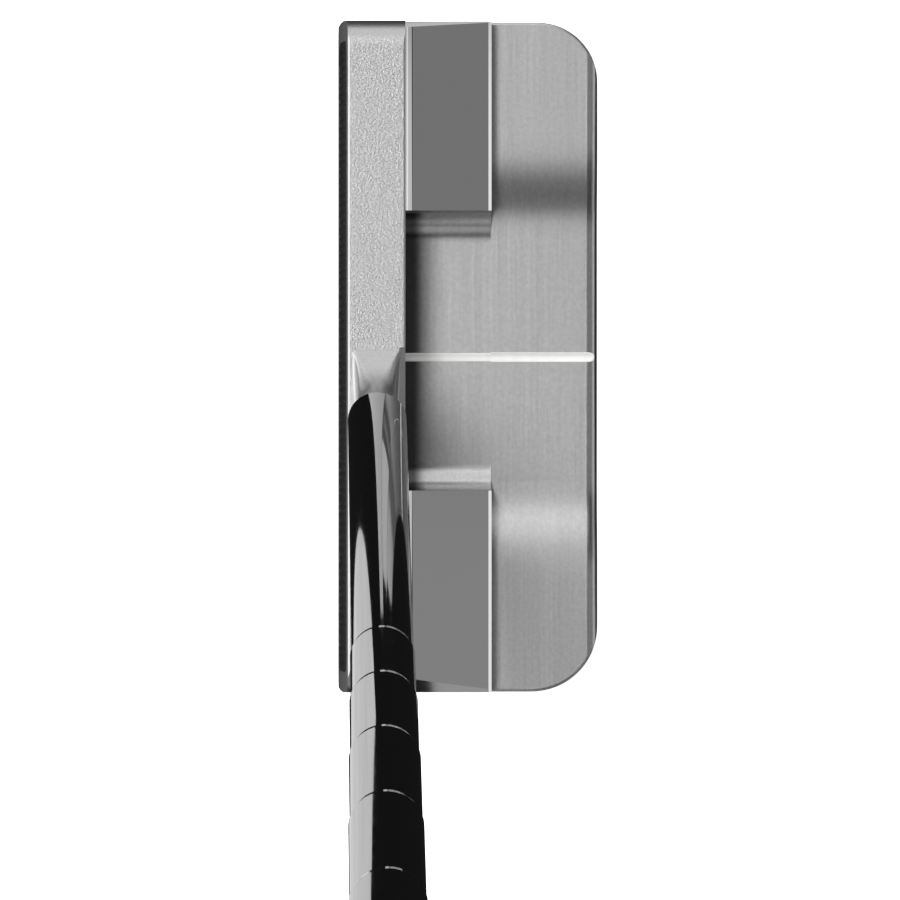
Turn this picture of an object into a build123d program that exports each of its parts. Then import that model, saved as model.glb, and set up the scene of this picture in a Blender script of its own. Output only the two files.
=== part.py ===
from build123d import *
import math
import os

# Mallet putter, right-handed, at address: sole on the ground, shaft leaning towards the golfer.
# Frame in mm: origin on the sole's plane under the sight line and midway from front to rear.
# The face looks along -Y, the toe is at -X, the golfer and the heel are at +X, and +Z is up.

# ---- Head: overall sizes -------------------------------------------------------------------
head_length = 108.7          # toe to heel
head_depth = 42.15           # leading edge to rear edge
topline_height = 25.0        # top of the blade above the ground
loft_angle = 3.5             # lean of the face, in degrees
toe_rear_radius = 9.7        # rear corners seen from above
heel_rear_radius = 10.7
front_corner_radius = 1.0
leading_edge_radius = 0.8

# ---- Head: the blade and its ends ----------------------------------------------------------
topline_rear = 10.75         # rear wall of the blade, behind the leading edge
edge_break = 0.3             # chamfer on the blade's top edges
blade_end_roll = 3.9         # rounding of the blade's top at toe and heel
blade_end_draft = 0.35       # how far the blade's ends lean in, from the bumpers up to the top
bumper_height = 12.5         # polished flats at toe and heel
bumper_rear = 24.85          # where the bumpers stop and the flange starts
bumper_edge_chamfer = 0.5
bumper_foot_radius = 1.3     # fillet between blade and bumper
toe_relief_width = 0.95      # slanted relief at the outer end of the toe bumper
toe_relief_drop = 0.9
heel_relief_width = 2.3      # the same at the heel, longer and shallower
heel_relief_drop = 0.2
relief_rear_share = 0.2      # how much of the relief is left at the bumper's rear
toe_bumper_end = -23.7       # inner ends of the bumpers
heel_bumper_end = 21.7

# ---- Head: cavity and flange ---------------------------------------------------------------
cavity_floor = 5.6
cavity_toe_radius = 5.0
cavity_heel_radius = 4.2
cavity_front_radius = 0.25
flange_height = 7.8          # flange top at toe and heel
channel_height = 5.8         # flange top in the middle
channel_half_width = 20.2    # flat stretch of the channel
channel_slope = 15.0         # steepest slope of the channel's sides, in degrees
channel_foot_radius = 23.0
flange_rear_roll = 1.7
flange_edge_radius = 0.4     # along the flange's ends and rear corners
flange_shoulder_share = 0.95 # of the slope's free length that the shoulder's rounding takes
sight_line_width = 1.66
sight_line_depth = 0.55
paint_thickness = 0.25

# ---- Head: sole ----------------------------------------------------------------------------
sole_end_run = 8.0           # length over which the sole rises to toe and heel
sole_end_rise = 1.4
sole_rear_run = 7.8          # length over which the sole rises to the rear
sole_rear_rise = 1.8
sole_blend_radius = 25.0

# ---- Face insert ---------------------------------------------------------------------------
insert_end_margin = 3.35     # steel left beyond the insert at toe and heel
insert_top_margin = 4.1      # steel left above the insert
insert_bottom = 2.9          # lower edge above the ground
insert_thickness = 4.0
insert_corner_radius = 3.0
insert_gap = 0.06            # all round the insert's edge
pad_thickness = 1.0

# ---- Sole plate and its screws -------------------------------------------------------------
plate_margin = 9.9           # sole left in front of the plate and behind it
plate_to_weight = 2.5        # between the plate's ends and the weights' heads
plate_thickness = 2.0
plate_corner_radius = 4.0
plate_gap = 0.08
plate_pad_thickness = 0.8
screw_to_plate_end = 3.5
screw_radius = 1.5
screw_head_radius = 2.8
screw_head_height = 1.5
screw_length = 5.2
screw_socket_radius = 1.1    # across the corners of the hexagon
screw_socket_depth = 1.1
screw_gap = 0.05

# ---- Interchangeable sole weights ----------------------------------------------------------
weight_to_head_end = 17.35   # weights' centres from the toe's and the heel's end
weight_head_radius = 7.5
weight_head_height = 2.4
weight_thread_radius = 6.0
weight_height = 8.6
weight_socket_radius = 2.9   # across the corners of the hexagon
weight_socket_depth = 3.2
weight_gap = 0.06
weight_edge = 0.35
seal_thickness = 0.7
seal_gap = 0.12

# ---- Neck ----------------------------------------------------------------------------------
lie_angle = 70.0             # shaft above the ground, seen from the front
neck_offset = 10.3           # shaft's tip centre, heelward of the sight line
neck_rise = 11.0             # shaft's tip centre above the blade's top
neck_radius = 3.0            # waist between the blade and the shaft
neck_reach = 7.9             # flare's reach along the blade, from the shaft's axis
neck_flare_height = 5.6
neck_crease = 6.0            # degrees between the blade's top and the start of the flare
neck_shoulder_height = 4.7   # cone under the shaft's end
neck_root = 0.05             # how far the flare starts below the blade's top
neck_sections = 7
neck_taper = 3.0             # how soon the flare narrows across the blade, as a power
neck_corner = 0.4            # corner radius of the flare's section on the blade
neck_roundness = 0.98        # the same at the waist, as a share of the waist's radius
neck_rounding = 2.5          # how late the corners grow, as a power
neck_slope_reach = 7.7       # the blade's rear edge slopes off beside the neck, over this reach
neck_slope_width = 0.95
neck_slope_drop = 1.1
shaft_seat_clearance = 0.05  # the shoulder is this much smaller than the shaft's end
post_length = 26.0           # glued inside the shaft

# ---- Shaft ---------------------------------------------------------------------------------
shaft_length = 822.0
shaft_tip_radius = 4.7
shaft_butt_radius = 7.6
shaft_wall = 0.45
shaft_steps = 14
first_step = 104.0           # from the tip
first_step_gap = 19.0
step_gap_growth = 3.6
longest_step_gap = 36.0
step_taper = 1.2             # length of the cone at each step
bond_thickness = 0.1

# ---- Grip ----------------------------------------------------------------------------------
grip_length = 267.0
grip_mouth_wall = 1.75       # rubber round the shaft at the grip's lower end
grip_middle_width = 26.5
grip_middle_depth = 24.0
grip_butt_width = 29.5
grip_butt_depth = 30.0
grip_corner = 0.36           # corner radius as a share of the section's smaller side
grip_swell_start = 0.18      # share of the length where the grip has begun to widen
grip_swell_share = 0.45      # share of the widening reached there
grip_swell_depth = 1.5       # fuller there than the mouth
grip_heel_start = 0.78       # share of the length where the palm's swell begins
grip_heel_depth = 1.0        # fuller there than the middle
grip_back_share = 0.8        # share of the extra depth that goes to the palm's side
grip_tape_thickness = 0.15
grip_cap_thickness = 3.0
cap_inset = 0.5              # the cap's edge inside the grip's end
cap_plug_length = 6.0
cap_plug_gap = 0.1
vent_radius = 1.5
band_length = 18.0
band_thickness = 0.12
band_gap_to_grip = 3.0

# ---- Values that follow --------------------------------------------------------------------
loft_run = math.tan(math.radians(loft_angle))
insert_length = head_length - 2 * insert_end_margin
insert_height = topline_height - insert_bottom - insert_top_margin
weight_spacing = head_length - 2 * weight_to_head_end
weight_behind_front = (topline_rear + bumper_rear) / 2
plate_length = weight_spacing - 2 * (weight_head_radius + plate_to_weight)
plate_width = head_depth - 2 * plate_margin
screw_spacing = plate_length - 2 * screw_to_plate_end
neck_height = topline_height + neck_rise
grip_mouth_size = 2 * (shaft_butt_radius + grip_tape_thickness + grip_mouth_wall)
lean = math.radians(90.0 - lie_angle)
along_shaft = Vector(math.sin(lean), 0, math.cos(lean))
across_shaft = Vector(math.cos(lean), 0, -math.sin(lean))
topline_front = topline_height * loft_run + edge_break
topline_middle = (topline_front + topline_rear - edge_break) / 2
tip_centre = Vector(neck_offset, topline_middle - head_depth / 2, neck_height)
shaft_plane = Plane(origin=tip_centre, x_dir=across_shaft, z_dir=along_shaft)
shaft_bore_radius = shaft_tip_radius - shaft_wall


def behind_front(distance):
    """Y of a place that lies a distance behind the leading edge."""
    return distance - head_depth / 2


def rounded_face(corners):
    """A closed flat shape from (u, v, radius) corners in order."""
    points = [(u, v) for u, v, _ in corners]
    radii = [radius for _, _, radius in corners]
    return make_face(FilletPolyline(*points, radius=radii, close=True))


def along_x(face, low, high):
    """Extrude a shape drawn in the YZ plane from X = low to X = high."""
    return Pos(low, 0, 0) * extrude(Plane.YZ * face, amount=high - low)


def along_y(face, low, high):
    """Extrude a shape drawn in the XZ plane from Y = low to Y = high."""
    return Pos(0, high, 0) * extrude(Plane.XZ * face, amount=high - low)


def column(radius, low, high):
    """An upright cylinder about the Z axis between two heights."""
    return Pos(0, 0, (low + high) / 2) * Cylinder(radius, high - low)


def head_outline():
    """The head from above: small front corners and large rear corners."""
    outline = Rectangle(head_length, head_depth)
    corners = [
        (-1, -1, front_corner_radius),
        (1, -1, front_corner_radius),
        (-1, 1, toe_rear_radius),
        (1, 1, heel_rear_radius),
    ]
    for side, end, radius in corners:
        place = Vector(side * head_length / 2, end * head_depth / 2, 0)
        nearest = outline.vertices().sort_by_distance(place)[0]
        outline = fillet(nearest, radius)
    return outline


def blade_and_bumpers():
    """The blade with its lofted face, and the step that carries both bumpers."""
    top = topline_height
    corners = [
        (behind_front(0), 0, leading_edge_radius),
        (behind_front((top - edge_break) * loft_run), top - edge_break, 0),
        (behind_front(topline_front), top, 0),
        (behind_front(topline_rear - edge_break), top, 0),
        (behind_front(topline_rear), top - edge_break, 0),
        (behind_front(topline_rear), bumper_height, bumper_foot_radius),
        (behind_front(bumper_rear - bumper_edge_chamfer), bumper_height, 0),
        (behind_front(bumper_rear), bumper_height - bumper_edge_chamfer, 0),
        (behind_front(bumper_rear), 0, 0),
    ]
    return along_x(rounded_face(corners), -head_length / 2, head_length / 2)


def flange():
    """The rear flange, lower in the middle, with long rounded slopes to its raised ends."""
    slope = math.radians(channel_slope)
    drop = flange_height - channel_height
    foot = channel_half_width + channel_foot_radius * math.tan(slope / 2)
    shoulder = foot + drop / math.tan(slope)
    foot_tangent = channel_foot_radius * math.tan(slope / 2)
    shoulder_radius = flange_shoulder_share * (drop / math.sin(slope) - foot_tangent) / math.tan(slope / 2)
    end = head_length / 2
    corners = [
        (-end, 0, 0),
        (-end, flange_height, 0),
        (-shoulder, flange_height, shoulder_radius),
        (-foot, channel_height, channel_foot_radius),
        (foot, channel_height, channel_foot_radius),
        (shoulder, flange_height, shoulder_radius),
        (end, flange_height, 0),
        (end, 0, 0),
    ]
    block = along_y(rounded_face(corners), behind_front(topline_rear), head_depth / 2)
    block = fillet(block.edges().filter_by(is_on_rear_top), flange_rear_roll)
    outline = extrude(head_outline(), amount=flange_height)
    return block & fillet(outline.edges().group_by(Axis.Z)[-1], flange_edge_radius)


def is_on_rear_top(edge):
    """True for the edges along the top of the flange's rear face."""
    middle = edge @ 0.5
    at_rear = abs(middle.Y - head_depth / 2) < 0.01
    inside = abs(middle.X) < head_length / 2 - 0.01
    return at_rear and inside and middle.Z > channel_height / 2


def cavity():
    """The space between the bumpers, rounded along the foot of its three walls."""
    top = topline_height + 1
    across = [
        (toe_bumper_end, top, 0),
        (toe_bumper_end, cavity_floor, cavity_toe_radius),
        (heel_bumper_end, cavity_floor, cavity_heel_radius),
        (heel_bumper_end, top, 0),
    ]
    front_to_rear = [
        (behind_front(topline_rear), top, 0),
        (behind_front(topline_rear), cavity_floor, cavity_front_radius),
        (behind_front(bumper_rear), cavity_floor, 0),
        (behind_front(bumper_rear), top, 0),
    ]
    wide = along_y(rounded_face(across), behind_front(0), head_depth / 2)
    return wide & along_x(rounded_face(front_to_rear), toe_bumper_end, heel_bumper_end)


def blade_end_cutters():
    """What is taken off the blade's ends: they lean in slightly, and their top is rounded."""
    cutters = []
    for side in (-1, 1):
        end = side * head_length / 2
        leant = end - side * blade_end_draft
        inner = leant - side * 2 * blade_end_roll
        outer = end + side
        over = topline_height + 1
        corners = [
            (end, bumper_height, 0),
            (leant, topline_height, blade_end_roll),
            (inner, topline_height, 0),
            (inner, over, 0),
            (outer, over, 0),
            (outer, bumper_height, 0),
        ]
        rear = behind_front(topline_rear + bumper_foot_radius)
        cutters.append(along_y(rounded_face(corners), behind_front(-1), rear))
    return cutters


def relief_cutter(side, width, drop):
    """The thin slanted relief at the outer end of a polished flat, narrowing to the rear."""
    outer = side * head_length / 2
    sections = []
    for place, share in ((topline_rear, 1.0), (bumper_rear + 0.01, relief_rear_share)):
        inner = outer - side * width * share
        low = bumper_height - drop * share
        y = behind_front(place)
        over = bumper_height + 2 * bumper_foot_radius
        corners = [(inner, y, bumper_height), (outer, y, low), (outer, y, over), (inner, y, over)]
        sections.append(Wire.make_polygon(corners))
    return Solid.make_loft(sections, True)


def sole_envelope():
    """The lower limit of the head: flat in the middle, rising to toe, heel and rear."""
    end = head_length / 2
    tall = 2 * topline_height
    lengthwise = [
        (-end, tall, 0),
        (-end, sole_end_rise, 0),
        (sole_end_run - end, 0, sole_blend_radius),
        (end - sole_end_run, 0, sole_blend_radius),
        (end, sole_end_rise, 0),
        (end, tall, 0),
    ]
    crosswise = [
        (behind_front(0), tall, 0),
        (behind_front(0), 0, 0),
        (behind_front(head_depth - sole_rear_run), 0, sole_blend_radius),
        (behind_front(head_depth), sole_rear_rise, 0),
        (behind_front(head_depth), tall, 0),
    ]
    rocker = along_y(rounded_face(lengthwise), -head_depth / 2, head_depth / 2)
    return rocker & along_x(rounded_face(crosswise), -end, end)


def sight_line_groove(lift):
    """A round-bottomed groove from the blade's foot to the rear, raised off its bottom by a lift."""
    radius = sight_line_width / 2
    centre_height = channel_height + radius - sight_line_depth + lift
    stadium = Circle(radius) + Pos(0, radius) * Rectangle(2 * radius, 2 * radius)
    front = behind_front(topline_rear)
    start = Plane(origin=(0, front, centre_height), x_dir=(1, 0, 0), z_dir=(0, -1, 0))
    return extrude(start * stadium, amount=front - head_depth / 2 - 1)


def neck_section(share_turned):
    """One cross-section of the neck's flare, turned from the blade's top to square with the shaft.

    The share runs from 0 on the blade, where the section is a rectangle as wide as the blade,
    to 1 at the waist, where it is round.
    """
    start = math.radians(neck_crease)
    angle = start + share_turned * (math.pi / 2 - start)
    height = neck_flare_height * (1 - math.cos(angle))
    spread = 1 - math.sin(angle)
    half_width = topline_middle - topline_front
    reach = neck_radius + (neck_reach - neck_radius) * spread
    side = neck_radius + (half_width - neck_radius) * spread**neck_taper
    round_corner = neck_roundness * neck_radius
    corner = neck_corner + (round_corner - neck_corner) * math.sin(angle) ** neck_rounding
    base = topline_height - neck_root + height
    on_axis = tip_centre + along_shaft * ((base - neck_height) / math.cos(lean))
    tilt = lean * share_turned
    normal = (math.sin(tilt), 0, math.cos(tilt))
    plane = Plane(origin=on_axis, x_dir=(math.cos(tilt), 0, -math.sin(tilt)), z_dir=normal)
    return plane * RectangleRounded(2 * reach, 2 * side, corner)


def neck_slope_cutter():
    """What is sloped off the blade's rear edge beside the neck."""
    top = topline_height
    rear = behind_front(topline_rear)
    low = top - neck_slope_drop * (1 + 1 / neck_slope_width)
    corners = [
        (rear - neck_slope_width, top, 0),
        (rear - neck_slope_width, top + 1, 0),
        (rear + 1, top + 1, 0),
        (rear + 1, low, 0),
    ]
    middle = neck_offset - neck_rise * math.tan(lean)
    return along_x(rounded_face(corners), middle - neck_slope_reach, middle + neck_slope_reach)


def neck():
    """The flared neck on the blade, its waist, and the shoulder and post under the shaft."""
    shares = [index / (neck_sections - 1) for index in range(neck_sections)]
    flare = loft([neck_section(share) for share in shares])
    waist_length = (neck_height - topline_height) / math.cos(lean)
    waist = shaft_plane * Pos(0, 0, -waist_length / 2) * Cylinder(neck_radius, waist_length)
    shoulder = shaft_plane * Pos(0, 0, -neck_shoulder_height / 2) * Cone(
        neck_radius, shaft_tip_radius - shaft_seat_clearance, neck_shoulder_height
    )
    post_radius = shaft_bore_radius - bond_thickness
    post = shaft_plane * Pos(0, 0, post_length / 2) * Cylinder(post_radius, post_length)
    return flare + waist + shoulder + post


def face_plane_shape(length, height, corner, depth_low, depth_high):
    """A rounded slab let into the lofted face, between two depths behind the face."""
    middle = insert_bottom + insert_height / 2
    lofted = Plane(
        origin=(0, behind_front(middle * loft_run), middle),
        x_dir=(1, 0, 0),
        z_dir=(0, -math.cos(math.radians(loft_angle)), math.sin(math.radians(loft_angle))),
    )
    slab = extrude(RectangleRounded(length, height, corner), amount=depth_low - depth_high)
    return lofted * Pos(0, 0, -depth_low) * slab


def sole_slab(length, width, corner, low, high):
    """A rounded slab in the sole, between two heights."""
    slab = extrude(RectangleRounded(length, width, corner), amount=high - low)
    return Pos(0, 0, low) * slab


def screw_places():
    return [Pos(side * screw_spacing / 2, 0, 0) for side in (-1, 1)]


def weight_place(side):
    return Pos(side * weight_spacing / 2, behind_front(weight_behind_front), 0)


def screw_space(gap):
    """A countersunk screw's outline, grown all round by a gap."""
    head = Pos(0, 0, screw_head_height / 2) * Cone(
        screw_head_radius + gap, screw_radius + gap, screw_head_height
    )
    return head + column(screw_radius + gap, 0, screw_length + gap)


def weight_space():
    """The stepped hole for a sole weight and its seal."""
    seat = weight_head_height + seal_thickness
    wide = column(weight_head_radius + weight_gap, -1, seat)
    return wide + column(weight_thread_radius + weight_gap, 0, weight_height + 1)


def head_block():
    """The head's outer shape, with its cavity and bumpers, before any groove or pocket."""
    prism = extrude(head_outline(), amount=topline_height + 1)
    block = (blade_and_bumpers() + flange()) & prism & sole_envelope()
    block = block - cavity()
    for cutter in blade_end_cutters():
        block = block - cutter
    block = block - relief_cutter(-1, toe_relief_width, toe_relief_drop)
    return block - relief_cutter(1, heel_relief_width, heel_relief_drop)


def make_head_body(block):
    """The milled head with every pocket for what is fitted to it."""
    body = block - sight_line_groove(0)
    body = body - face_plane_shape(
        insert_length, insert_height, insert_corner_radius, -1, insert_thickness + pad_thickness
    )
    pocket = plate_thickness + plate_pad_thickness
    body = body - sole_slab(plate_length, plate_width, plate_corner_radius, -1, pocket)
    for place in screw_places():
        body = body - place * column(screw_radius + screw_gap, 0, screw_length + 0.5)
    for side in (-1, 1):
        body = body - weight_place(side) * weight_space()
    return body + neck() - neck_slope_cutter()


def make_face_insert():
    shrink = 2 * insert_gap
    return face_plane_shape(
        insert_length - shrink,
        insert_height - shrink,
        insert_corner_radius - insert_gap,
        0,
        insert_thickness,
    )


def make_insert_pad():
    shrink = 2 * insert_gap
    return face_plane_shape(
        insert_length - shrink,
        insert_height - shrink,
        insert_corner_radius - insert_gap,
        insert_thickness,
        insert_thickness + pad_thickness,
    )


def make_sight_line_paint(block):
    """The dried paint that lines the groove."""
    return (sight_line_groove(0) - sight_line_groove(paint_thickness)) & block


def make_sole_plate():
    shrink = 2 * plate_gap
    plate = sole_slab(
        plate_length - shrink,
        plate_width - shrink,
        plate_corner_radius - plate_gap,
        0,
        plate_thickness,
    )
    for place in screw_places():
        plate = plate - place * screw_space(screw_gap)
    return plate


def make_sole_plate_pad():
    shrink = 2 * plate_gap
    pad = sole_slab(
        plate_length - shrink,
        plate_width - shrink,
        plate_corner_radius - plate_gap,
        plate_thickness,
        plate_thickness + plate_pad_thickness,
    )
    for place in screw_places():
        pad = pad - place * column(screw_radius + screw_gap, 0, screw_length)
    return pad


def make_sole_plate_screws():
    """Two countersunk screws with hexagon sockets."""
    socket = extrude(RegularPolygon(screw_socket_radius, 6), amount=screw_socket_depth)
    screw = screw_space(0) - socket
    return Compound(children=[place * screw for place in screw_places()])


def make_weight(side):
    """A threaded round weight, flush with the sole, with a hexagon socket for its wrench."""
    head = column(weight_head_radius, 0, weight_head_height)
    head = chamfer(head.edges().group_by(Axis.Z)[0], weight_edge)
    thread = column(weight_thread_radius, 0, weight_height)
    thread = chamfer(thread.edges().group_by(Axis.Z)[-1], weight_edge)
    socket = extrude(RegularPolygon(weight_socket_radius, 6), amount=weight_socket_depth)
    return weight_place(side) * (head + thread - socket)


def make_weight_seal(side):
    """The flat ring under the weight's head that stops it working loose."""
    top = weight_head_height + seal_thickness
    ring = column(weight_head_radius - seal_gap, weight_head_height, top)
    hole = column(weight_thread_radius + seal_gap, weight_head_height - 1, top + 1)
    return weight_place(side) * (ring - hole)


def step_places():
    """Distances of the shaft's steps from its tip."""
    places = [first_step]
    gap = first_step_gap
    while len(places) < shaft_steps:
        places.append(places[-1] + gap)
        gap = min(gap + step_gap_growth, longest_step_gap)
    return places


def make_shaft():
    """A hollow stepped tube that widens a little at each step."""
    rise = (shaft_butt_radius - shaft_tip_radius) / shaft_steps
    outside = [(shaft_tip_radius, 0)]
    radius = shaft_tip_radius
    for place in step_places():
        outside.append((radius, place))
        radius = radius + rise
        outside.append((radius, place + step_taper))
    outside.append((shaft_butt_radius, shaft_length))
    inside = [(radius - shaft_wall, height) for radius, height in reversed(outside)]
    about = Plane(origin=tip_centre, x_dir=across_shaft, z_dir=(0, -1, 0))
    outline = make_face(Polyline(*outside, *inside, close=True))
    return revolve(about * outline, Axis(tip_centre, along_shaft))


def sleeve(inner, outer, low, high):
    """A tube about the shaft's axis between two distances from the shaft's tip."""
    length = high - low
    tube = Cylinder(outer, length) - Cylinder(inner, length)
    return shaft_plane * Pos(0, 0, (low + high) / 2) * tube


def make_shaft_bond():
    return sleeve(shaft_bore_radius - bond_thickness, shaft_bore_radius, 0.2, post_length - 0.2)


def make_shaft_band():
    top = shaft_length - grip_length - band_gap_to_grip
    outer = shaft_butt_radius + band_thickness
    return sleeve(shaft_butt_radius, outer, top - band_length, top)


def make_grip_tape():
    outer = shaft_butt_radius + grip_tape_thickness
    return sleeve(shaft_butt_radius, outer, shaft_length - grip_length, shaft_length)


def grip_section(height, width, depth, back_shift):
    """One cross-section of the grip: flat towards the thumbs, fuller towards the palms."""
    corner = grip_corner * min(width, depth)
    face = RectangleRounded(depth, width, corner)
    return shaft_plane * Pos(back_shift, 0, height) * face


def make_grip():
    """The moulded pistol grip, hollow for the taped shaft."""
    low = shaft_length - grip_length
    swell_width = grip_mouth_size + grip_swell_share * (grip_middle_width - grip_mouth_size)
    heel_width = (grip_middle_width + grip_butt_width) / 2
    places = [
        (0.0, grip_mouth_size, grip_mouth_size),
        (grip_swell_start, swell_width, grip_mouth_size + grip_swell_depth),
        (0.5, grip_middle_width, grip_middle_depth),
        (grip_heel_start, heel_width, grip_middle_depth + grip_heel_depth),
        (1.0, grip_butt_width, grip_butt_depth),
    ]
    sections = []
    for share, width, depth in places:
        back_shift = grip_back_share * (depth - grip_mouth_size) / 2
        sections.append(grip_section(low + share * grip_length, width, depth, back_shift))
    bore = Cylinder(shaft_butt_radius + grip_tape_thickness, 2 * grip_length)
    return loft(sections) - shaft_plane * Pos(0, 0, shaft_length) * bore


def make_grip_cap():
    """The butt cap: a disc over the grip's end with a short plug in the shaft and a vent hole."""
    depth = grip_butt_depth - 2 * cap_inset
    width = grip_butt_width - 2 * cap_inset
    back_shift = grip_back_share * (grip_butt_depth - grip_mouth_size) / 2
    corner = grip_corner * min(width, depth)
    face = Pos(back_shift, 0, 0) * RectangleRounded(depth, width, corner)
    disc = extrude(face, amount=grip_cap_thickness)
    disc = fillet(disc.edges().group_by(Axis.Z)[-1], grip_cap_thickness / 2)
    plug_radius = shaft_butt_radius - shaft_wall - cap_plug_gap
    plug = Pos(0, 0, -cap_plug_length / 2) * Cylinder(plug_radius, cap_plug_length)
    vent_length = 2 * (grip_cap_thickness + cap_plug_length)
    vent = Cylinder(vent_radius, vent_length)
    return shaft_plane * Pos(0, 0, shaft_length) * (disc + plug - vent)


os.makedirs("parts", exist_ok=True)
block = head_block()
nodes = {
    "head_body": make_head_body(block),
    "face_insert": make_face_insert(),
    "insert_pad": make_insert_pad(),
    "sight_line_paint": make_sight_line_paint(block),
    "sole_plate": make_sole_plate(),
    "sole_plate_pad": make_sole_plate_pad(),
    "sole_plate_screws": make_sole_plate_screws(),
    "toe_weight": make_weight(-1),
    "heel_weight": make_weight(1),
    "toe_weight_seal": make_weight_seal(-1),
    "heel_weight_seal": make_weight_seal(1),
    "shaft": make_shaft(),
    "shaft_bond": make_shaft_bond(),
    "shaft_band": make_shaft_band(),
    "grip_tape": make_grip_tape(),
    "grip": make_grip(),
    "grip_cap": make_grip_cap(),
}
for name, solid in nodes.items():
    export_step(solid, f"parts/{name}.step")
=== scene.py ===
import math

import bpy
from mathutils import Matrix, Vector


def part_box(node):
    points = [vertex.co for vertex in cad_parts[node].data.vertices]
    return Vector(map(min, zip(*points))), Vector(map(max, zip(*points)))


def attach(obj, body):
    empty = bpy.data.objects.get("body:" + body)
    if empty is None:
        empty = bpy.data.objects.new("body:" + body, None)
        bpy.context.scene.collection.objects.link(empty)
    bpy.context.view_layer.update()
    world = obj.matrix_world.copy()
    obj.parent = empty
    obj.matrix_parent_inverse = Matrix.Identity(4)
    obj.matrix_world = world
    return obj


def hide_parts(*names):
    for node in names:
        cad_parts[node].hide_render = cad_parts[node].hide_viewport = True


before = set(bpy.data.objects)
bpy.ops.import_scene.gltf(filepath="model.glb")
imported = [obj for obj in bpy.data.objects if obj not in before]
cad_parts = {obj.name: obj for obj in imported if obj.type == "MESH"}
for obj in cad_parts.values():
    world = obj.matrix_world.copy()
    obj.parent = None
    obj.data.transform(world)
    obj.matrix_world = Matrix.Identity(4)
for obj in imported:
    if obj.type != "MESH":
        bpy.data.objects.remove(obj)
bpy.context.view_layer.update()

# ---- Camera -------------------------------------------------------------------------------------
# The golfer's own view at address: straight down on the head, toe uppermost, with the shaft coming
# up past the lens. It is a long lens, 1.7 m above the ground, so the head is hardly foreshortened.

sensor_width = 36.0
lens_length = 422.0
field_width = 0.145            # width of the view at the level of the blade's top
aim = Vector((0.0151, -0.0031, 0.0215))
lens_to_face_side = 0.0254     # how far the lens stands on the face's side of the aim

camera = bpy.data.objects.new("camera", bpy.data.cameras.new("camera"))
bpy.context.scene.collection.objects.link(camera)
bpy.context.scene.camera = camera
camera.data.sensor_width = sensor_width
camera.data.lens = lens_length
camera.data.clip_start = 0.05
camera_height = field_width * lens_length / sensor_width
camera.location = aim + Vector((0.0, -lens_to_face_side, camera_height))
back = (camera.location - aim).normalized()
right = Vector((-1.0, 0.0, 0.0)).cross(back).normalized()
turn = Matrix((right, back.cross(right), back)).transposed()
camera.rotation_mode = "QUATERNION"
camera.rotation_quaternion = turn.to_quaternion()


# ---- Studio light -------------------------------------------------------------------------------
# A dark room with soft lights: a broad panel overhead on the face's side of the lens, a large
# softbox off the toe, a lower one in front of the face, and a tall narrow one behind the head.
# Plain colours straight to the screen keep the steel's greys as they are.

def linear(colour):
    """An sRGB hex colour as the linear RGBA that shaders take."""
    shares = [int(colour[i:i + 2], 16) / 255 for i in (1, 3, 5)]
    return [s / 12.92 if s <= 0.04045 else ((s + 0.055) / 1.055) ** 2.4 for s in shares] + [1.0]


def add(tree, kind, *values, to=None, **settings):
    """Add one node with its settings. Values and links go to its inputs in order, or by name."""
    node = tree.nodes.new(kind)
    for name, value in settings.items():
        setattr(node, name, value)
    for socket, value in [*enumerate(values), *(to or {}).items()]:
        if value is None:
            continue
        if isinstance(value, bpy.types.Node):
            value = next(output for output in value.outputs if output.enabled)
        if isinstance(value, bpy.types.NodeSocket):
            tree.links.new(value, node.inputs[socket])
        else:
            node.inputs[socket].default_value = value
    return node


bpy.context.scene.view_settings.view_transform = "Standard"
world = bpy.data.worlds.new("studio")
bpy.context.scene.world = world
world.use_nodes = True
sky = world.node_tree
sky.nodes.clear()
heading = add(sky, "ShaderNodeVectorMath", add(sky, "ShaderNodeTexCoord").outputs["Generated"],
              operation="NORMALIZE")
towards = add(sky, "ShaderNodeSeparateXYZ", heading).outputs
rise = add(sky, "ShaderNodeMath", towards["Z"], 0.02, operation="MAXIMUM")
to_heel = add(sky, "ShaderNodeMath", towards["X"], rise, operation="DIVIDE")
to_rear = add(sky, "ShaderNodeMath", towards["Y"], rise, operation="DIVIDE")

# Panels on a ceiling one metre up: what each side's soft edge runs from and to, and the power.
# The first three are the pale patch round the lens, which the polished flats mirror.
panels = (
    ((-0.110, -0.085, -0.010, 0.010), (-0.085, -0.070, 0.060, 0.085), 0.265),
    ((-0.010, 0.010, 0.060, 0.085), (-0.085, -0.070, 0.060, 0.085), 0.345),
    ((0.060, 0.085, 0.24, 0.28), (-0.085, -0.070, 0.060, 0.085), 0.45),
    ((-0.70, -0.45, 0.10, 0.34), (-0.22, -0.18, -0.130, -0.080), 1.6),
    ((-0.70, -0.45, 0.10, 0.34), (-0.40, -0.36, -0.22, -0.18), 7.8),
)
light = None
for side, depth, power in panels:
    share = None
    for along, edges in ((to_heel, side), (to_rear, depth)):
        for outer, inner in (edges[:2], edges[:1:-1]):
            edge = add(sky, "ShaderNodeMapRange", along, outer, inner,
                       interpolation_type="SMOOTHSTEP")
            share = edge if share is None else add(sky, "ShaderNodeMath", share, edge,
                                                   operation="MULTIPLY")
    light = add(sky, "ShaderNodeMath", share, power, 0.0 if light is None else light,
                operation="MULTIPLY_ADD")

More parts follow.
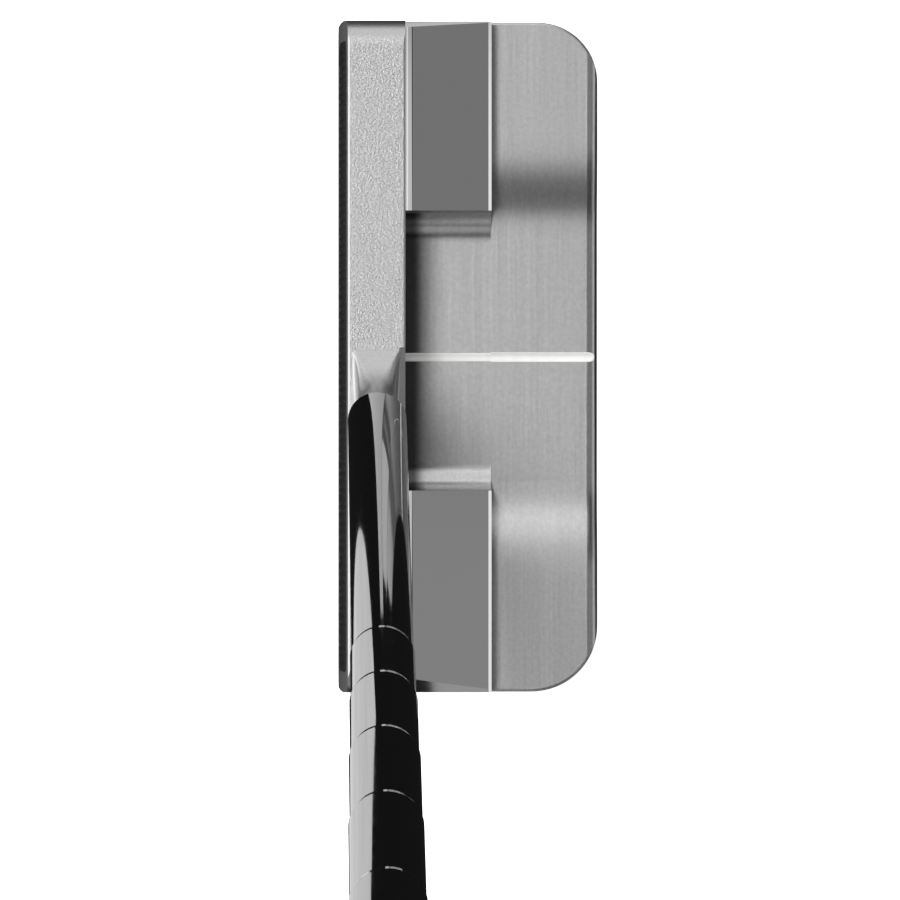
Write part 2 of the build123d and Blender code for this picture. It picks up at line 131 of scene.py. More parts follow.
# The softboxes: the middle of each, the cosines where it fades out and where it is full, its power.
softboxes = (
    ((-0.80, -0.14, 0.58), 0.76, 0.92, 1.00),    # off the toe
    ((0.0, -0.97, 0.24), 0.72, 0.92, 1.9),       # in front of the face
    ((0.0, 0.80, 0.60), 0.62, 0.90, 0.03),       # a weak fill behind the head
    ((0.74, 0.03, 0.67), 0.960, 0.985, 0.55),    # a small lamp beside the golfer
    ((0.95, 0.0, 0.12), 0.60, 0.95, 0.05),       # the room's far wall
)
for middle, fade, full, power in softboxes:
    nearness = add(sky, "ShaderNodeVectorMath", heading, Vector(middle).normalized(),
                   operation="DOT_PRODUCT").outputs["Value"]
    glow = add(sky, "ShaderNodeMapRange", nearness, fade, full, 0.0, power,
               interpolation_type="SMOOTHSTEP")
    light = add(sky, "ShaderNodeMath", light, glow, operation="ADD")

# The tall narrow softbox behind the head.
aside = add(sky, "ShaderNodeMath", towards["X"], operation="ABSOLUTE")
strip_fade, strip_full, strip_power = 0.055, 0.030, 0.8
strip = add(sky, "ShaderNodeMapRange", aside, strip_fade, strip_full, 0.0, strip_power,
            interpolation_type="SMOOTHSTEP")
behind = add(sky, "ShaderNodeMapRange", towards["Y"], 0.16, 0.26,
             interpolation_type="SMOOTHSTEP")
light = add(sky, "ShaderNodeMath", strip, behind, light, operation="MULTIPLY_ADD")

# A low ring of light all round, which the head's upright walls and the grip need.
ring_power = 0.50
ring = add(sky, "ShaderNodeMapRange", towards["Z"], 0.45, 0.20, 0.0, ring_power,
           interpolation_type="SMOOTHSTEP")
light = add(sky, "ShaderNodeMath", light, ring, operation="ADD")

above_floor = add(sky, "ShaderNodeMapRange", towards["Z"], -0.16, 0.0,
                  interpolation_type="SMOOTHSTEP")
light = add(sky, "ShaderNodeMath", light, above_floor, 0.010, operation="MULTIPLY_ADD")
tent = add(sky, "ShaderNodeBackground", linear("#ffffff"), light)
backdrop = add(sky, "ShaderNodeBackground", linear("#ffffff"), 1.0)
seen = add(sky, "ShaderNodeLightPath").outputs["Is Camera Ray"]
add(sky, "ShaderNodeOutputWorld", add(sky, "ShaderNodeMixShader", seen, tent, backdrop))

# A soft lamp for paint, paper and rubber, hidden from the metal's mirror.
lamp = bpy.data.objects.new("soft_lamp", bpy.data.lights.new("soft_lamp", "AREA"))
lamp.data.shape = "SQUARE"
lamp.data.size = 1.6
lamp.data.energy = 26.0
lamp.location = (-0.6, -0.5, 2.2)
lamp.rotation_mode = "QUATERNION"
lamp.rotation_quaternion = lamp.location.to_track_quat("Z", "Y")
lamp.visible_glossy = False
lamp.visible_camera = False
bpy.context.scene.collection.objects.link(lamp)


# ---- Floor --------------------------------------------------------------------------------------
# A plain sheet of white studio paper, lit from below as well so that it stays white under the
# head. Polished metal mirrors the dark room instead, except for a white card in front of the face.

def start_material(name):
    """A new material with nothing in it, and its tree."""
    made = bpy.data.materials.new(name)
    made.use_nodes = True
    made.node_tree.nodes.clear()
    return made, made.node_tree


def sheet_on_floor(name, low, high, level, material):
    """A flat sheet lying over part of the floor."""
    corners = [(low[0], low[1], level), (high[0], low[1], level),
               (high[0], high[1], level), (low[0], high[1], level)]
    mesh = bpy.data.meshes.new(name)
    mesh.from_pydata(corners, [], [(0, 1, 2, 3)])
    mesh.materials.append(material)
    made = bpy.data.objects.new(name, mesh)
    bpy.context.scene.collection.objects.link(made)
    return made


floor_half = 30.0
paper, tree = start_material("white_paper")
fibres = add(tree, "ShaderNodeTexNoise", add(tree, "ShaderNodeTexCoord").outputs["Object"],
             to={"Scale": 900.0})
shade = add(tree, "ShaderNodeMapRange", fibres.outputs[0], 0.3, 0.7, 0.88, 0.92)
surface = add(tree, "ShaderNodeBsdfPrincipled", shade, to={
    "Roughness": 0.9, "Emission Color": linear("#ffffff"), "Emission Strength": 0.95})
add(tree, "ShaderNodeOutputMaterial", surface)
floor = sheet_on_floor("floor", (-floor_half, -floor_half), (floor_half, floor_half), 0.0, paper)
floor.visible_glossy = False

# The card shows only in the chrome, as the pale stripe down the face's side of the shaft.
card_white, tree = start_material("white_card")
mottling = add(tree, "ShaderNodeTexNoise", add(tree, "ShaderNodeTexCoord").outputs["Object"],
               to={"Scale": 40.0})
card_light = add(tree, "ShaderNodeMapRange", mottling.outputs[0], 0.3, 0.7, 0.76, 0.87)
add(tree, "ShaderNodeOutputMaterial",
    add(tree, "ShaderNodeEmission", linear("#ffffff"), card_light))
card = sheet_on_floor("card", (-0.085, -0.70), (0.60, -0.055), 0.0004, card_white)
card.visible_camera = False
card.visible_diffuse = False
card.visible_shadow = False


# ---- Head ---------------------------------------------------------------------------------------
# One piece of cast and milled stainless steel. The blade and neck are bead-blasted to a satin
# skin, the cavity and flange keep the fine lines of the cutter, which ran from toe to heel, and the
# two bumpers are polished to a mirror. The cavity floor at the foot of the blade's rear wall is
# painted darker: painted shade that deepens the blade's shadow there, not a known finish of the
# steel.

head_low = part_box("head_body")[0]
blade_rear = head_low.y + 0.0107           # rear wall of the blade
bumper_low, bumper_high = 0.0119, 0.0139   # from the bumpers' chamfers to the top of the fillet
bumper_middle, bumper_gap = -0.0010, 0.0226
floor_high = 0.0086                        # just above the flange
blasted_roughness, milled_roughness, polished_roughness = 0.40, 0.30, 0.035
bead_size = 0.00035                        # real beads leave 0.15 mm dents, too fine to show
line_spacing = 0.00045                     # the cutter's lines are 0.1 mm apart, drawn coarser
line_length = 0.030
# Painted shade: the milled floor is darkened within these reaches of the blade's rear wall.
painted_shade_dark_reach, painted_shade_end_reach = 0.0014, 0.0038   # from the blade's rear wall
painted_shade_tone = 0.16                           # share of the steel's own tone
grain_size = 0.0006                        # the crystals of the casting, just visible in the steel

stainless, tree = start_material("stainless_steel")
coordinates = add(tree, "ShaderNodeTexCoord")
place = coordinates.outputs["Object"]
at = add(tree, "ShaderNodeSeparateXYZ", place).outputs

outwards = add(tree, "ShaderNodeMath", at["X"], bumper_middle, operation="SUBTRACT")
outwards = add(tree, "ShaderNodeMath", outwards, operation="ABSOLUTE")
beside_cavity = add(tree, "ShaderNodeMath", outwards, bumper_gap, operation="GREATER_THAN")
behind_blade = add(tree, "ShaderNodeMath", at["Y"], blade_rear, operation="GREATER_THAN")
over = add(tree, "ShaderNodeMath", at["Z"], bumper_low, operation="GREATER_THAN")
under = add(tree, "ShaderNodeMath", at["Z"], bumper_high, operation="LESS_THAN")
polished = add(tree, "ShaderNodeMath", over, under, operation="MULTIPLY")
polished = add(tree, "ShaderNodeMath", polished, beside_cavity, operation="MULTIPLY")
polished = add(tree, "ShaderNodeMath", polished, behind_blade, operation="MULTIPLY")
low = add(tree, "ShaderNodeMapRange", at["Z"], floor_high + 0.0004, floor_high)
milled = add(tree, "ShaderNodeMath", low, behind_blade, operation="MULTIPLY")

beads = add(tree, "ShaderNodeTexNoise", place, to={"Scale": 1 / bead_size, "Detail": 2.0})
stretched = add(tree, "ShaderNodeMapping", place, to={
    "Scale": (1 / line_length, 1 / line_spacing, 1 / line_spacing)})
lines = add(tree, "ShaderNodeTexNoise", stretched, to={
    "Scale": 1.0, "Detail": 3.0, "Roughness": 0.65})
broad = add(tree, "ShaderNodeMapping", place, to={
    "Scale": (0.15 / line_length, 0.15 / line_spacing, 0.15 / line_spacing)})
passes = add(tree, "ShaderNodeTexNoise", broad, to={"Scale": 1.0, "Detail": 1.0})

relief = add(tree, "ShaderNodeMix", milled, data_type="FLOAT", to={
    2: beads.outputs[0], 3: lines.outputs[0]})
kept = add(tree, "ShaderNodeMath", 1.0, polished, operation="SUBTRACT")
depth = add(tree, "ShaderNodeMapRange", milled, 0.0, 1.0, 0.16, 0.045)
strength = add(tree, "ShaderNodeMath", kept, depth, operation="MULTIPLY")
bump = add(tree, "ShaderNodeBump", to={
    "Strength": strength, "Distance": 0.0002, "Height": relief.outputs[0]})

rough = add(tree, "ShaderNodeMix", milled, data_type="FLOAT", to={
    2: blasted_roughness, 3: milled_roughness})
rough = add(tree, "ShaderNodeMix", polished, data_type="FLOAT", to={
    2: rough.outputs[0], 3: polished_roughness})
streak = add(tree, "ShaderNodeMapRange", lines.outputs[0], 0.3, 0.7, 0.94, 1.04)
sweep = add(tree, "ShaderNodeMapRange", passes.outputs[0], 0.3, 0.7, 0.97, 1.02)
grains = add(tree, "ShaderNodeTexNoise", place, to={"Scale": 1 / grain_size, "Detail": 2.0})
grain = add(tree, "ShaderNodeMapRange", grains.outputs[0], 0.3, 0.7, 0.93, 1.05)
# Painted shade at the foot of the blade's rear wall, deepening the shadow that the blade casts
# there.
painted_shade_near_wall = add(tree, "ShaderNodeMapRange", at["Y"], blade_rear + painted_shade_dark_reach,
                blade_rear + painted_shade_end_reach, painted_shade_tone, 1.0, interpolation_type="SMOOTHSTEP")
painted_wall_shade = add(tree, "ShaderNodeMath", painted_shade_near_wall, beside_cavity, operation="MAXIMUM")
milled_tone = add(tree, "ShaderNodeMath", streak, sweep, operation="MULTIPLY")
milled_tone = add(tree, "ShaderNodeMath", milled_tone, grain, operation="MULTIPLY")
milled_tone = add(tree, "ShaderNodeMath", milled_tone, painted_wall_shade, operation="MULTIPLY")
blasted_tone = add(tree, "ShaderNodeMapRange", beads.outputs[0], 0.3, 0.7, 0.84, 0.94)
tone = add(tree, "ShaderNodeMix", milled, data_type="FLOAT", to={
    2: blasted_tone, 3: milled_tone})
tone = add(tree, "ShaderNodeMix", polished, data_type="FLOAT", to={2: tone.outputs[0], 3: 1.0})
steel_colour = add(tree, "ShaderNodeVectorMath", linear("#cbcbcb")[:3], None,
                   operation="SCALE", to={"Scale": tone.outputs[0]})
surface = add(tree, "ShaderNodeBsdfPrincipled", steel_colour, to={
    "Metallic": 1.0, "Roughness": rough.outputs[0], "Normal": bump})
add(tree, "ShaderNodeOutputMaterial", surface)
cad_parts["head_body"].material_slots[0].material = stainless


# ---- Face insert --------------------------------------------------------------------------------
# A plate of anodised aluminium pressed into the face. Crossing V-grooves cut at 45 degrees leave
# rows of small diamonds, which soften the strike, and a plain rim is left all round.

def finished_mesh(name, tree, material, sizes):
    """A plain mesh object, made once by a geometry node tree from its named inputs."""
    made = bpy.data.objects.new(name, bpy.data.meshes.new(name))
    bpy.context.scene.collection.objects.link(made)
    maker = made.modifiers.new("maker", "NODES")
    maker.node_group = tree
    for socket in tree.interface.items_tree:
        if socket.in_out == "INPUT":
            value = material if socket.name == "Material" else sizes[socket.name]
            maker[socket.identifier] = value
    evaluated = made.evaluated_get(bpy.context.evaluated_depsgraph_get())
    mesh = bpy.data.meshes.new_from_object(evaluated)
    made.modifiers.clear()
    made.data = mesh
    return made


def start_tree(name, inputs):
    """A new geometry node tree with named inputs, and their sockets by name."""
    tree = bpy.data.node_groups.new(name, "GeometryNodeTree")
    for title, kind in inputs.items():
        tree.interface.new_socket(title, in_out="INPUT", socket_type="NodeSocket" + kind)
    tree.interface.new_socket("Material", in_out="INPUT", socket_type="NodeSocketMaterial")
    tree.interface.new_socket("Geometry", in_out="OUTPUT", socket_type="NodeSocketGeometry")
    return tree, add(tree, "NodeGroupInput").outputs


loft = math.radians(3.5)
insert_low, insert_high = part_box("face_insert")
insert_thickness = 0.004
insert_corner = 0.00294
insert_foot = insert_low.z + insert_thickness * math.sin(loft)
insert_length = insert_high.x - insert_low.x
insert_height = (insert_high.z - insert_foot) / math.cos(loft)
groove_pitch = 0.00272
steps_per_groove = 10
groove_width = 0.0009
groove_depth = 0.00028
rim_width = 0.0011
rim_fade = 0.0003

plate_tree, size = start_tree("milled_plate", {
    "Length": "Float", "Height": "Float", "Thickness": "Float", "Corner": "Float",
    "Columns": "Int", "Rows": "Int", "Steps Per Groove": "Int",
    "Groove Pitch": "Float", "Groove Width": "Float", "Groove Depth": "Float",
    "Rim": "Float", "Rim Fade": "Float", "Lean": "Vector", "Centre": "Vector"})
columns_in = add(plate_tree, "ShaderNodeMath", size["Columns"], 1.0, operation="ADD")
rows_in = add(plate_tree, "ShaderNodeMath", size["Rows"], 1.0, operation="ADD")
block = add(plate_tree, "GeometryNodeMeshCube",
            add(plate_tree, "ShaderNodeCombineXYZ", size["Length"], size["Height"],
                size["Thickness"]), columns_in, rows_in, 2)
point = add(plate_tree, "GeometryNodeInputPosition")
flat_point = add(plate_tree, "ShaderNodeVectorMath", point, (1.0, 1.0, 0.0), operation="MULTIPLY")
at = add(plate_tree, "ShaderNodeSeparateXYZ", point).outputs

# Round the four corners: a point beyond a corner's arc moves back onto it.
half_size = add(plate_tree, "ShaderNodeVectorMath",
                add(plate_tree, "ShaderNodeCombineXYZ", size["Length"], size["Height"]),
                (0.5, 0.5, 0.0), operation="MULTIPLY")
corner_box = add(plate_tree, "ShaderNodeVectorMath", half_size,
                 add(plate_tree, "ShaderNodeCombineXYZ", size["Corner"], size["Corner"]),
                 operation="SUBTRACT")
past = add(plate_tree, "ShaderNodeVectorMath",
           add(plate_tree, "ShaderNodeVectorMath", flat_point, operation="ABSOLUTE"),
           corner_box, operation="SUBTRACT")
outside = add(plate_tree, "ShaderNodeVectorMath", past, (0.0, 0.0, 0.0), operation="MAXIMUM")
inside = add(plate_tree, "ShaderNodeVectorMath", past, (0.0, 0.0, 0.0), operation="MINIMUM")
reach = add(plate_tree, "ShaderNodeVectorMath", outside, operation="LENGTH").outputs["Value"]
keep = add(plate_tree, "ShaderNodeMath",
           add(plate_tree, "ShaderNodeMath", size["Corner"], reach, operation="DIVIDE"),
           1.0, operation="MINIMUM")
drawn_in = add(plate_tree, "ShaderNodeVectorMath", outside, None, operation="SCALE",
               to={"Scale": keep})
folded = add(plate_tree, "ShaderNodeVectorMath", inside, drawn_in, operation="ADD")
folded = add(plate_tree, "ShaderNodeVectorMath", folded, corner_box, operation="ADD")
rounded = add(plate_tree, "ShaderNodeVectorMath", folded,
              add(plate_tree, "ShaderNodeVectorMath", flat_point, operation="SIGN"),
              operation="MULTIPLY")

# Two families of V-grooves, and the distance in from the rim that they keep.
across_steps = add(plate_tree, "ShaderNodeVectorMath",
                   add(plate_tree, "ShaderNodeCombineXYZ", size["Columns"], size["Rows"], 1.0),
                   add(plate_tree, "ShaderNodeCombineXYZ", size["Length"], size["Height"], 1.0),
                   operation="DIVIDE")
counted = add(plate_tree, "ShaderNodeVectorMath", flat_point, across_steps, operation="MULTIPLY")
counted = add(plate_tree, "ShaderNodeSeparateXYZ", counted).outputs
diagonal_pitch = add(plate_tree, "ShaderNodeMath", size["Groove Pitch"], math.sqrt(2),
                     operation="MULTIPLY")
grooves = None
for operation in ("ADD", "SUBTRACT"):
    along = add(plate_tree, "ShaderNodeMath", counted["X"], counted["Y"], operation=operation)
    along = add(plate_tree, "ShaderNodeMath", along, size["Steps Per Groove"], operation="DIVIDE")
    off_middle = add(plate_tree, "ShaderNodeMath", along, 0.5, operation="PINGPONG")
    off_middle = add(plate_tree, "ShaderNodeMath", off_middle, diagonal_pitch,
                     operation="MULTIPLY")
    cut = add(plate_tree, "ShaderNodeMapRange", off_middle, 0.0, size["Groove Width"],
              size["Groove Depth"], 0.0)
    grooves = cut if grooves is None else add(plate_tree, "ShaderNodeMath", grooves, cut,
                                              operation="MAXIMUM")
past_at = add(plate_tree, "ShaderNodeSeparateXYZ", past).outputs
nearest = add(plate_tree, "ShaderNodeMath", past_at["X"], past_at["Y"], operation="MAXIMUM")
nearest = add(plate_tree, "ShaderNodeMath", nearest, 0.0, operation="MINIMUM")
nearest = add(plate_tree, "ShaderNodeMath", nearest, reach, operation="ADD")
from_rim = add(plate_tree, "ShaderNodeMath", size["Corner"], nearest, operation="SUBTRACT")
from_rim = add(plate_tree, "ShaderNodeMath", from_rim, size["Rim"], operation="SUBTRACT")
fade = add(plate_tree, "ShaderNodeMapRange", from_rim, 0.0, size["Rim Fade"])
on_front = add(plate_tree, "ShaderNodeMath", at["Z"], 0.0, operation="GREATER_THAN")
sunk = add(plate_tree, "ShaderNodeMath", grooves, fade, operation="MULTIPLY")
sunk = add(plate_tree, "ShaderNodeMath", sunk, on_front, operation="MULTIPLY")
level = add(plate_tree, "ShaderNodeMath", at["Z"], sunk, operation="SUBTRACT")
cut_point = add(plate_tree, "ShaderNodeVectorMath", rounded,
                add(plate_tree, "ShaderNodeCombineXYZ", 0.0, 0.0, level), operation="ADD")
plate = add(plate_tree, "GeometryNodeSetPosition", block, to={"Position": cut_point})
plate = add(plate_tree, "GeometryNodeTransform", plate, to={
    "Rotation": size["Lean"], "Translation": size["Centre"]})
plate = add(plate_tree, "GeometryNodeRealizeInstances", plate)
add(plate_tree, "NodeGroupOutput",
    add(plate_tree, "GeometryNodeSetMaterial", plate, to={"Material": size["Material"]}))

anodised, tree = start_material("anodised_milled_aluminium")
place = add(tree, "ShaderNodeTexCoord").outputs["Object"]
cutter_marks = add(tree, "ShaderNodeMapping", place, to={"Scale": (2500.0, 300.0, 300.0)})
marks = add(tree, "ShaderNodeTexNoise", cutter_marks, to={"Scale": 1.0, "Detail": 2.0})
shade = add(tree, "ShaderNodeMapRange", marks.outputs[0], 0.3, 0.7, 0.85, 1.1)
colour = add(tree, "ShaderNodeVectorMath", linear("#6f7072")[:3], None, operation="SCALE",
             to={"Scale": shade})
surface = add(tree, "ShaderNodeBsdfPrincipled", colour, to={
    "Metallic": 1.0, "Roughness": 0.36,
    "Normal": add(tree, "ShaderNodeBump", to={
        "Strength": 0.15, "Distance": 0.0001, "Height": marks.outputs[0]})})
add(tree, "ShaderNodeOutputMaterial", surface)

half_plate = insert_thickness / 2
face_centre = Vector((
    (insert_low.x + insert_high.x) / 2,
    insert_low.y + insert_height / 2 * math.sin(loft) + half_plate * math.cos(loft),
    insert_foot + insert_height / 2 * math.cos(loft) - half_plate * math.sin(loft)))
milled_insert = finished_mesh("milled_insert", plate_tree, anodised, {
    "Length": insert_length, "Height": insert_height, "Thickness": insert_thickness,
    "Corner": insert_corner,
    "Columns": 2 * round(insert_length / groove_pitch * steps_per_groove / 2),
    "Rows": 2 * round(insert_height / groove_pitch * steps_per_groove / 2),
    "Steps Per Groove": steps_per_groove, "Groove Pitch": groove_pitch,
    "Groove Width": groove_width, "Groove Depth": groove_depth, "Rim": rim_width,
    "Rim Fade": rim_fade,
    "Lean": (math.radians(90.0) - loft, 0.0, 0.0), "Centre": face_centre})
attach(milled_insert, "club")
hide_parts("face_insert")


# ---- Rubber pads --------------------------------------------------------------------------------
# Thin sheets of black damping rubber behind the insert and over the sole plate, cut from moulded
# sheet. Only their edges show, matt and slightly grainy.

rubber, tree = start_material("moulded_sheet_rubber")
place = add(tree, "ShaderNodeTexCoord").outputs["Object"]
grain = add(tree, "ShaderNodeTexNoise", place, to={"Scale": 1500.0, "Detail": 3.0})
shade = add(tree, "ShaderNodeMapRange", grain.outputs[0], 0.3, 0.7, 0.8, 1.2)
colour = add(tree, "ShaderNodeVectorMath", linear("#1d1d1e")[:3], None, operation="SCALE",
             to={"Scale": shade})
surface = add(tree, "ShaderNodeBsdfPrincipled", colour, to={
    "Roughness": 0.75,
    "Normal": add(tree, "ShaderNodeBump", to={
        "Strength": 0.3, "Distance": 0.0001, "Height": grain.outputs[0]})})
add(tree, "ShaderNodeOutputMaterial", surface)
for name in ("insert_pad", "sole_plate_pad", "toe_weight_seal", "heel_weight_seal"):
    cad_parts[name].material_slots[0].material = rubber


# ---- Sight line ---------------------------------------------------------------------------------
# White enamel run into the milled groove and left slightly below its edges. It dries with a soft
# gloss and a faint ripple.

enamel, tree = start_material("white_enamel")
place = add(tree, "ShaderNodeTexCoord").outputs["Object"]
ripple = add(tree, "ShaderNodeTexNoise", place, to={"Scale": 700.0, "Detail": 2.0})
shade = add(tree, "ShaderNodeMapRange", ripple.outputs[0], 0.3, 0.7, 0.97, 1.02)
colour = add(tree, "ShaderNodeVectorMath", linear("#f2f2f0")[:3], None, operation="SCALE",
             to={"Scale": shade})
surface = add(tree, "ShaderNodeBsdfPrincipled", colour, to={
    "Roughness": 0.3,
    "Normal": add(tree, "ShaderNodeBump", to={
        "Strength": 0.1, "Distance": 0.0001, "Height": ripple.outputs[0]})})
add(tree, "ShaderNodeOutputMaterial", surface)
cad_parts["sight_line_paint"].material_slots[0].material = enamel


# ---- Sole plate ---------------------------------------------------------------------------------
# An aluminium plate let into the sole, brushed from toe to heel and then anodised grey, which
# leaves fine satin lines.

brushed, tree = start_material("brushed_anodised_aluminium")
place = add(tree, "ShaderNodeTexCoord").outputs["Object"]
stretched = add(tree, "ShaderNodeMapping", place, to={"Scale": (60.0, 4000.0, 4000.0)})
lines = add(tree, "ShaderNodeTexNoise", stretched, to={"Scale": 1.0, "Detail": 3.0})
shade = add(tree, "ShaderNodeMapRange", lines.outputs[0], 0.3, 0.7, 0.85, 1.1)
colour = add(tree, "ShaderNodeVectorMath", linear("#8d9094")[:3], None, operation="SCALE",
             to={"Scale": shade})
surface = add(tree, "ShaderNodeBsdfPrincipled", colour, to={
    "Metallic": 1.0, "Roughness": 0.34,
    "Normal": add(tree, "ShaderNodeBump", to={
        "Strength": 0.15, "Distance": 0.0001, "Height": lines.outputs[0]})})
add(tree, "ShaderNodeOutputMaterial", surface)
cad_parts["sole_plate"].material_slots[0].material = brushed


# ---- Sole plate screws --------------------------------------------------------------------------
# Two small cap screws of black-oxided steel, dark and slightly oily, worn bright nowhere because
# they sit flush.

blackened, tree = start_material("black_oxide_steel")
place = add(tree, "ShaderNodeTexCoord").outputs["Object"]
mottle = add(tree, "ShaderNodeTexNoise", place, to={"Scale": 1800.0, "Detail": 3.0})
shade = add(tree, "ShaderNodeMapRange", mottle.outputs[0], 0.3, 0.7, 0.8, 1.2)
colour = add(tree, "ShaderNodeVectorMath", linear("#3c3c3e")[:3], None, operation="SCALE",
             to={"Scale": shade})
surface = add(tree, "ShaderNodeBsdfPrincipled", colour, to={
    "Metallic": 1.0, "Roughness": 0.38})
add(tree, "ShaderNodeOutputMaterial", surface)
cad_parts["sole_plate_screws"].material_slots[0].material = blackened


# ---- Sole weights -------------------------------------------------------------------------------
# Turned stainless steel discs on threaded plugs, one at the toe and one at the heel. The lathe
# leaves fine rings round the middle, which catch the light as a bow tie.

ring_spacing = 0.0003          # feed of the lathe, drawn coarser than the real 0.1 mm
for name in ("toe_weight", "heel_weight"):
    weight_low, weight_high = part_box(name)
    middle = (weight_low + weight_high) / 2
    turned, tree = start_material("turned_steel_" + name)
    place = add(tree, "ShaderNodeTexCoord").outputs["Object"]
    centred = add(tree, "ShaderNodeVectorMath", place, (middle.x, middle.y, 0.0),
                  operation="SUBTRACT")
    flat = add(tree, "ShaderNodeVectorMath", centred, (1.0, 1.0, 0.0), operation="MULTIPLY")
    radius = add(tree, "ShaderNodeVectorMath", flat, operation="LENGTH").outputs["Value"]
    turns = add(tree, "ShaderNodeMath", radius, 2 * math.pi / ring_spacing, operation="MULTIPLY")
    rings = add(tree, "ShaderNodeMath", turns, operation="SINE")
    grit = add(tree, "ShaderNodeTexNoise", place, to={"Scale": 2500.0, "Detail": 2.0})
    uneven = add(tree, "ShaderNodeMath", grit.outputs[0], 0.8, rings, operation="MULTIPLY_ADD")
    surface = add(tree, "ShaderNodeBsdfPrincipled", linear("#c2c2c1"), to={
        "Metallic": 1.0, "Roughness": 0.26,
        "Normal": add(tree, "ShaderNodeBump", to={
            "Strength": 0.12, "Distance": 0.0001, "Height": uneven})})
    add(tree, "ShaderNodeOutputMaterial", surface)
    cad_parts[name].material_slots[0].material = turned


# ---- Shaft --------------------------------------------------------------------------------------
# A stepped steel tube, drawn, then plated with nickel and chrome. The plating is a clean dark
# mirror, with the faintest drag lines along the tube.

chrome, tree = start_material("chrome_plate")
place = add(tree, "ShaderNodeTexCoord").outputs["Object"]
haze = add(tree, "ShaderNodeTexNoise", place, to={"Scale": 220.0, "Detail": 2.0})
rough = add(tree, "ShaderNodeMapRange", haze.outputs[0], 0.3, 0.7, 0.035, 0.07)
surface = add(tree, "ShaderNodeBsdfPrincipled", linear("#bebebe"), to={
    "Metallic": 1.0, "Roughness": rough})
add(tree, "ShaderNodeOutputMaterial", surface)
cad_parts["shaft"].material_slots[0].material = chrome


# ---- Epoxy --------------------------------------------------------------------------------------
# The glue between post and shaft, cured to an amber resin. Only its rim shows, glossy.

resin, tree = start_material("cured_epoxy")
place = add(tree, "ShaderNodeTexCoord").outputs["Object"]
flow = add(tree, "ShaderNodeTexNoise", place, to={"Scale": 600.0, "Detail": 2.0})
shade = add(tree, "ShaderNodeMapRange", flow.outputs[0], 0.3, 0.7, 0.8, 1.15)
colour = add(tree, "ShaderNodeVectorMath", linear("#4a4438")[:3], None, operation="SCALE",
             to={"Scale": shade})
surface = add(tree, "ShaderNodeBsdfPrincipled", colour, to={"Roughness": 0.22})
add(tree, "ShaderNodeOutputMaterial", surface)
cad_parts["shaft_bond"].material_slots[0].material = resin


# ---- Shaft band ---------------------------------------------------------------------------------
# A printed film wrapped round the shaft below the grip: satin black with two thin silver rings
# and no lettering.

tip_low, tip_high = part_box("shaft")
lie = math.radians(70.0)
shaft_way = Vector((math.cos(lie), 0.0, math.sin(lie)))
band_low, band_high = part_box("shaft_band")
band_middle = (band_low + band_high) / 2
ring_out, ring_half = 0.0062, 0.0004
film, tree = start_material("printed_film")
place = add(tree, "ShaderNodeTexCoord").outputs["Object"]
from_middle = add(tree, "ShaderNodeVectorMath", place, band_middle, operation="SUBTRACT")
along = add(tree, "ShaderNodeVectorMath", from_middle, shaft_way, operation="DOT_PRODUCT")
along = add(tree, "ShaderNodeMath", along.outputs["Value"], operation="ABSOLUTE")
off_ring = add(tree, "ShaderNodeMath", along, ring_out, operation="SUBTRACT")
off_ring = add(tree, "ShaderNodeMath", off_ring, operation="ABSOLUTE")
ring = add(tree, "ShaderNodeMath", off_ring, ring_half, operation="LESS_THAN")
weave = add(tree, "ShaderNodeTexNoise", place, to={"Scale": 1200.0, "Detail": 2.0})
black_ink = add(tree, "ShaderNodeMapRange", weave.outputs[0], 0.3, 0.7, 0.010, 0.016)
silver_ink = add(tree, "ShaderNodeMapRange", weave.outputs[0], 0.3, 0.7, 0.42, 0.50)
colour = add(tree, "ShaderNodeMix", ring, data_type="FLOAT", to={2: black_ink, 3: silver_ink})
surface = add(tree, "ShaderNodeBsdfPrincipled", colour.outputs[0], to={
    "Metallic": ring, "Roughness": 0.32})
add(tree, "ShaderNodeOutputMaterial", surface)
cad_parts["shaft_band"].material_slots[0].material = film


# ---- Grip tape ----------------------------------------------------------------------------------
# Double-sided tape under the grip, a creped buff paper.

crepe, tree = start_material("creped_paper_tape")
place = add(tree, "ShaderNodeTexCoord").outputs["Object"]
creases = add(tree, "ShaderNodeMapping", place, to={"Scale": (300.0, 300.0, 2500.0)})
creases = add(tree, "ShaderNodeTexNoise", creases, to={"Scale": 1.0, "Detail": 2.0})
shade = add(tree, "ShaderNodeMapRange", creases.outputs[0], 0.3, 0.7, 0.85, 1.05)
colour = add(tree, "ShaderNodeVectorMath", linear("#cdbf9c")[:3], None, operation="SCALE",
             to={"Scale": shade})
surface = add(tree, "ShaderNodeBsdfPrincipled", colour, to={"Roughness": 0.85})
add(tree, "ShaderNodeOutputMaterial", surface)
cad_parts["grip_tape"].material_slots[0].material = crepe


# ---- Grip ---------------------------------------------------------------------------------------
# A pistol putter grip of moulded rubber, black and matt. The mould was etched, which leaves a fine
# leather-like grain, and was cut with crossing lines that leave rows of small raised diamonds.

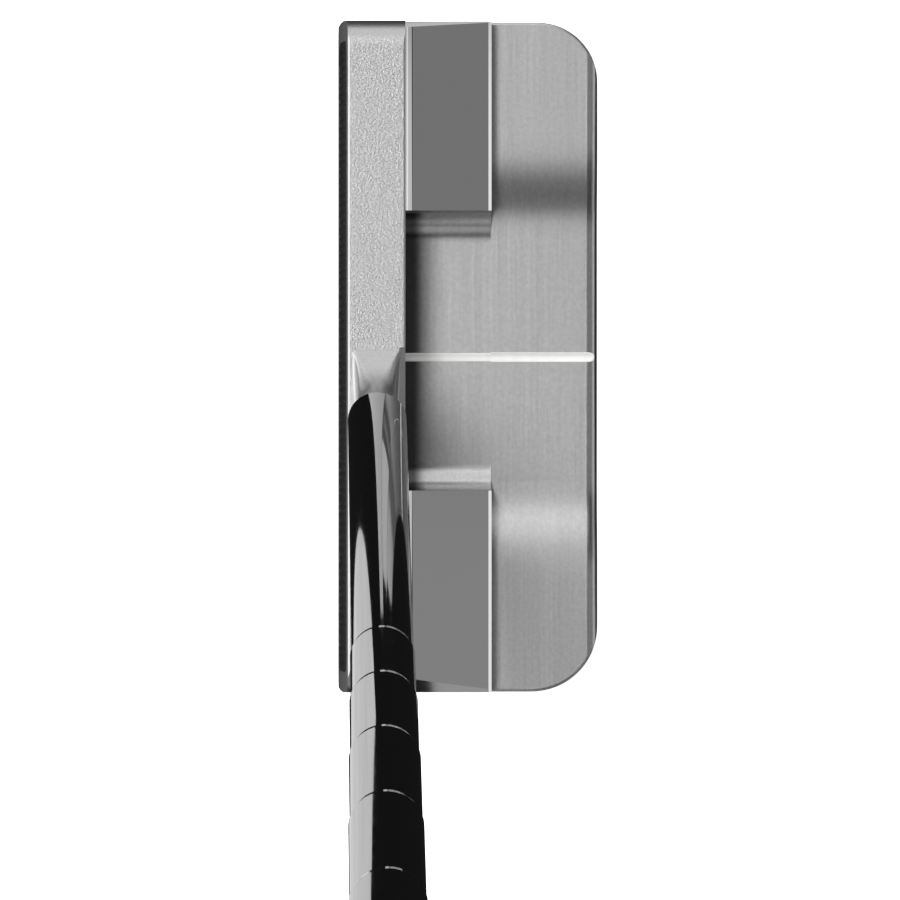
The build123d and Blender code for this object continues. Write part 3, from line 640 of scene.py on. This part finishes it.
grip_black = "#1a1a1b"
diamond_length = 0.0052        # along the grip
diamonds_round = 18            # in each ring round the grip
moulded, tree = start_material("moulded_grip_rubber")
place = add(tree, "ShaderNodeTexCoord").outputs["Object"]
grain = add(tree, "ShaderNodeTexVoronoi", place, to={"Scale": 1400.0})
from_axis = add(tree, "ShaderNodeVectorMath", place, (tip_low + tip_high) / 2,
                operation="SUBTRACT")
down_shaft = add(tree, "ShaderNodeVectorMath", from_axis, shaft_way, operation="DOT_PRODUCT")
sideways = add(tree, "ShaderNodeVectorMath", from_axis, (0.0, 1.0, 0.0), operation="DOT_PRODUCT")
upwards = add(tree, "ShaderNodeVectorMath", from_axis, (-shaft_way.z, 0.0, shaft_way.x),
              operation="DOT_PRODUCT")
round_grip = add(tree, "ShaderNodeMath", sideways.outputs["Value"], upwards.outputs["Value"],
                 operation="ARCTAN2")
turned_by = add(tree, "ShaderNodeMath", round_grip, diamonds_round / 2, operation="MULTIPLY")
moved_by = add(tree, "ShaderNodeMath", down_shaft.outputs["Value"],
               math.pi / diamond_length, operation="MULTIPLY")
valley = None
for operation in ("ADD", "SUBTRACT"):
    across = add(tree, "ShaderNodeMath", turned_by, moved_by, operation=operation)
    across = add(tree, "ShaderNodeMath", across, operation="SINE")
    across = add(tree, "ShaderNodeMath", across, operation="ABSOLUTE")
    valley = across if valley is None else add(tree, "ShaderNodeMath", valley, across,
                                               operation="MINIMUM")
raised = add(tree, "ShaderNodeMapRange", valley, 0.0, 0.45, interpolation_type="SMOOTHSTEP")
cloud = add(tree, "ShaderNodeTexNoise", place, to={"Scale": 60.0, "Detail": 3.0})
shade = add(tree, "ShaderNodeMapRange", cloud.outputs[0], 0.3, 0.7, 0.85, 1.2)
colour = add(tree, "ShaderNodeVectorMath", linear(grip_black)[:3], None, operation="SCALE",
             to={"Scale": shade})
rough = add(tree, "ShaderNodeMapRange", cloud.outputs[0], 0.3, 0.7, 0.55, 0.68)
leather = add(tree, "ShaderNodeBump", to={
    "Strength": 0.25, "Distance": 0.0001, "Height": grain.outputs[0]})
surface = add(tree, "ShaderNodeBsdfPrincipled", colour, to={
    "Roughness": rough,
    "Normal": add(tree, "ShaderNodeBump", to={
        "Strength": 0.8, "Distance": 0.0005, "Height": raised, "Normal": leather})})
add(tree, "ShaderNodeOutputMaterial", surface)
for name in ("grip", "grip_cap"):
    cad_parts[name].material_slots[0].material = moulded
